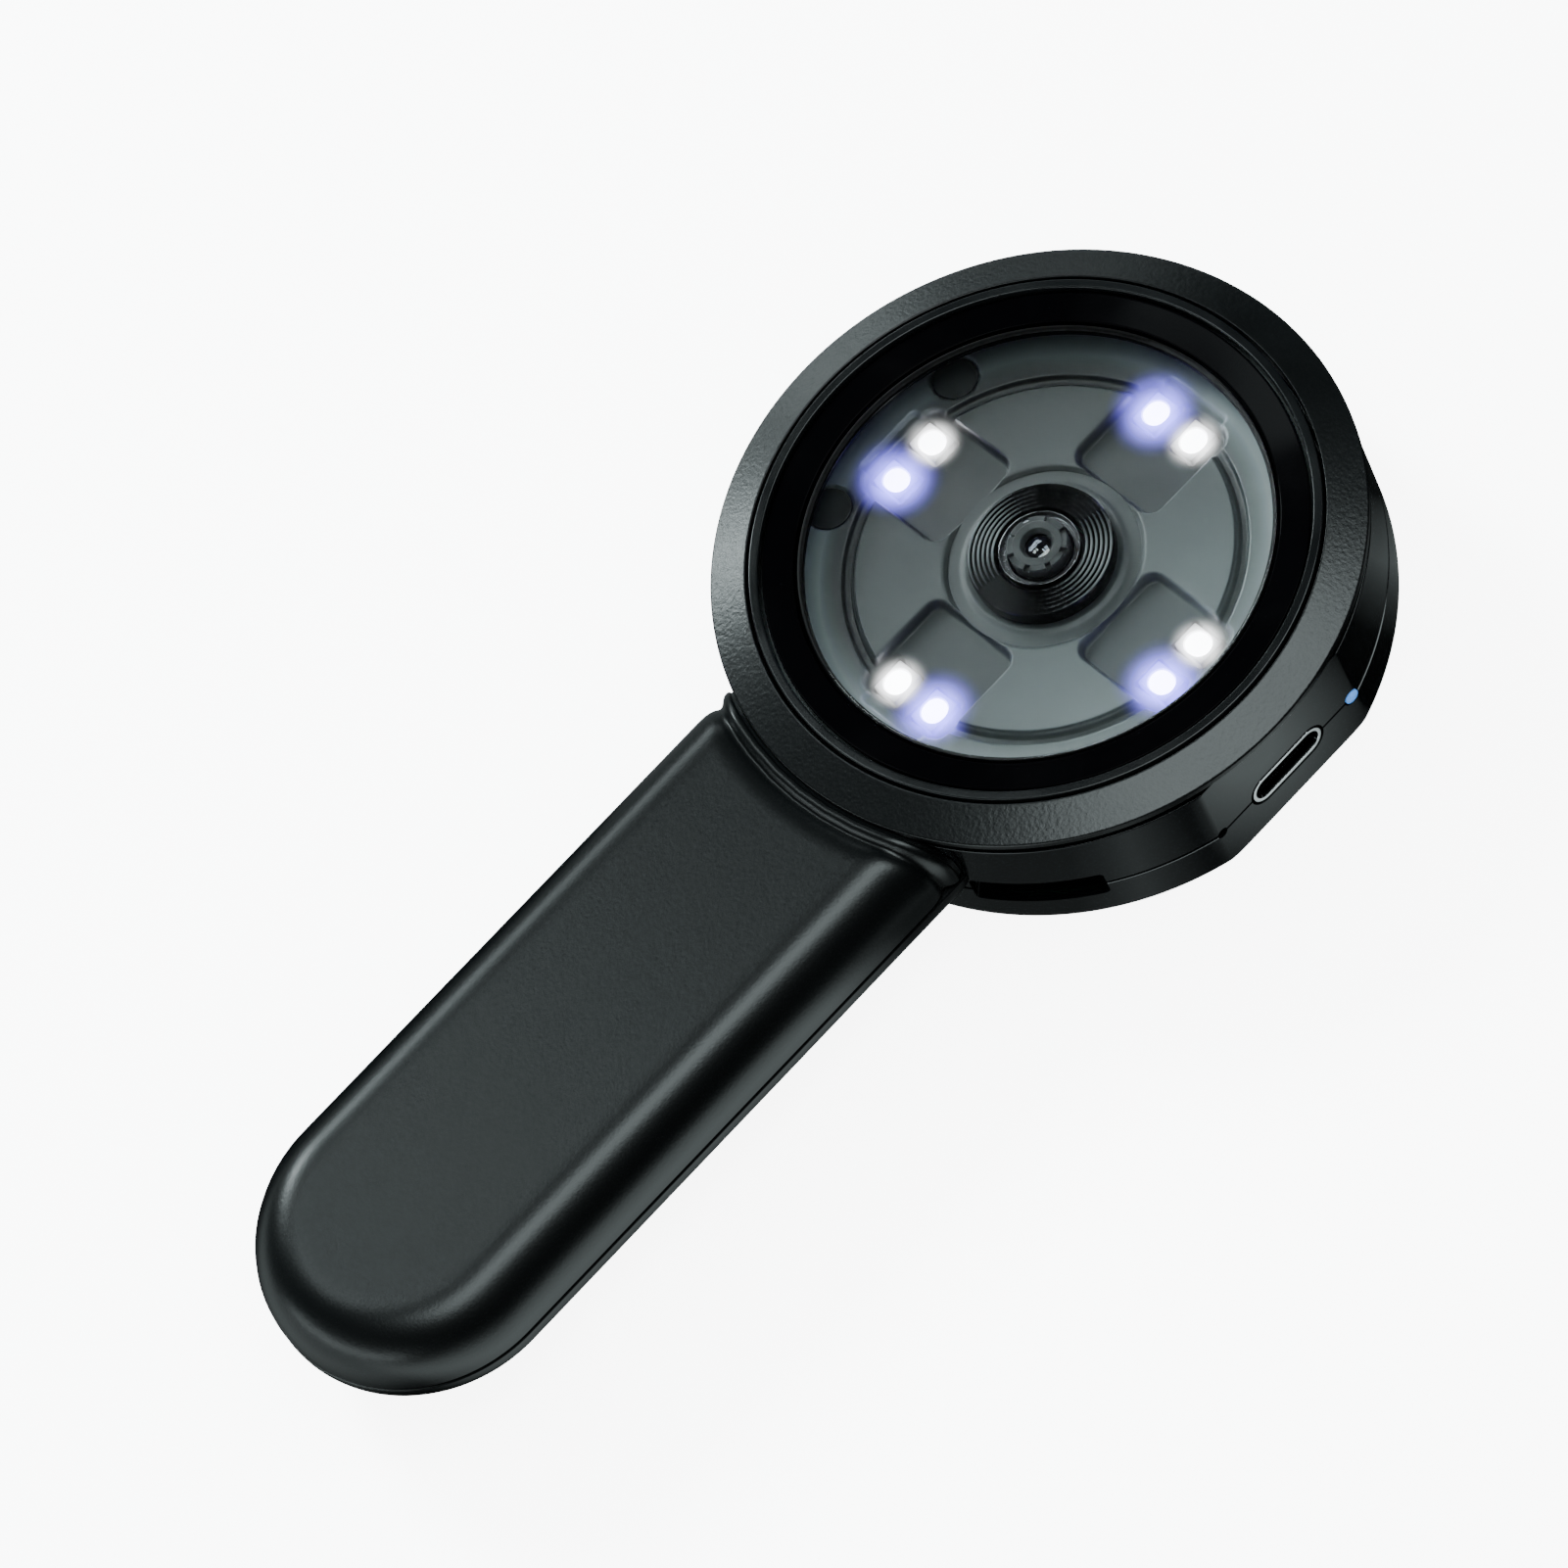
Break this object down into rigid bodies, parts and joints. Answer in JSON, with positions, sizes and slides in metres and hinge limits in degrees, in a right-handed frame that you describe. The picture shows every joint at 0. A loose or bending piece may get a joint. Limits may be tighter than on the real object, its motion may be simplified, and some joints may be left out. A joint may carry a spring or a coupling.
{
  "type": "digital magnifier",
  "caption": "Hand-held digital magnifier: a round camera head with a lit lens plate under a window, a rear display and a flat handle with push buttons.",
  "frame": {"origin": "centre of the bounding box at the plane that the head's rear rim lies on", "axes": "+X from the handle to the head, +Y away from the charging port, +Z out of the lens side"},
  "size_m": [0.1306, 0.062, 0.0164],
  "materials": {
    "gloss_black": "polished black plastic",
    "satin_black": "satin black plastic with a fine grain",
    "clear_glass": "clear, polished",
    "cover_glass": "dark printed glass, polished",
    "plate_grey": "moulded grey plastic",
    "lens_black": "matt black plastic",
    "lens_ring": "turned, bright",
    "led_body": "clear over white",
    "green_board": "green solder mask",
    "white_board": "white solder mask",
    "plated_steel": "plated sheet",
    "black_screw": "blackened steel",
    "blue_pipe": "milky light guide",
    "white_plastic": "plain",
    "silicon": "dark package under glass",
    "cell_foil": "laminated foil",
    "foam": "black foam",
    "red_wire": "insulated lead",
    "ribbon": "amber film"
  },
  "bodies": {
    "housing": {"head_front_shell": "gloss_black", "head_rear_shell": "gloss_black", "window_mask_ring": "gloss_black", "front_bezel": "satin_black", "bezel_lip_ring": "satin_black", "handle_top_shell": "satin_black", "handle_bottom_shell": "satin_black", "window_glass": "clear_glass", "lens_front_element": "clear_glass", "display_cover_glass": "cover_glass", "light_plate": "plate_grey", "lens_shroud": "lens_black", "lens_barrel": "lens_black", "lens_nut": "lens_black", "camera_holder": "lens_black", "usb_c_tongue": "lens_black", "lens_retaining_ring": "lens_ring", "led_1": "led_body", "led_2": "led_body", "led_3": "led_body", "led_4": "led_body", "led_5": "led_body", "led_6": "led_body", "led_7": "led_body", "led_8": "led_body", "main_board": "green_board", "camera_board": "green_board", "button_board": "green_board", "led_board": "white_board", "usb_c_shell": "plated_steel", "card_socket": "plated_steel", "display_tray": "plated_steel", "power_switch": "plated_steel", "capture_switch": "plated_steel", "zoom_in_switch": "plated_steel", "zoom_out_switch": "plated_steel", "reset_switch": "plated_steel", "head_screw_1": "black_screw", "head_screw_2": "black_screw", "head_screw_3": "black_screw", "head_screw_4": "black_screw", "plate_screw_1": "black_screw", "plate_screw_2": "black_screw", "neck_screw_1": "black_screw", "neck_screw_2": "black_screw", "handle_screw_1": "black_screw", "handle_screw_2": "black_screw", "indicator_light_pipe": "blue_pipe", "image_sensor": "silicon", "display_panel": "silicon", "battery": "cell_foil", "battery_pad": "foam", "battery_lead": "red_wire", "button_ribbon": "ribbon"},
    "power_button": {"power_button": "satin_black"},
    "capture_button": {"capture_button": "satin_black"},
    "zoom_in_button": {"zoom_in_button": "satin_black"},
    "zoom_out_button": {"zoom_out_button": "satin_black"},
    "reset_plunger": {"reset_plunger": "white_plastic"}
  },
  "joints": [
    {"name": "power_press", "type": "slide", "parent": "housing", "child": "power_button", "axis": [0, 0, 1], "range_m": [0, 0.0003], "stiffness_N_per_m": 1500, "springref_m": -0.0003},
    {"name": "capture_press", "type": "slide", "parent": "housing", "child": "capture_button", "axis": [0, 0, 1], "range_m": [0, 0.0003], "stiffness_N_per_m": 1500, "springref_m": -0.0003},
    {"name": "zoom_in_press", "type": "slide", "parent": "housing", "child": "zoom_in_button", "axis": [0, 0, 1], "range_m": [0, 0.0003], "stiffness_N_per_m": 1500, "springref_m": -0.0003},
    {"name": "zoom_out_press", "type": "slide", "parent": "housing", "child": "zoom_out_button", "axis": [0, 0, 1], "range_m": [0, 0.0003], "stiffness_N_per_m": 1500, "springref_m": -0.0003},
    {"name": "reset_press", "type": "slide", "parent": "housing", "child": "reset_plunger", "axis": [0, 1, 0], "range_m": [0, 0.00025], "stiffness_N_per_m": 600, "springref_m": -0.0003}
  ]
}
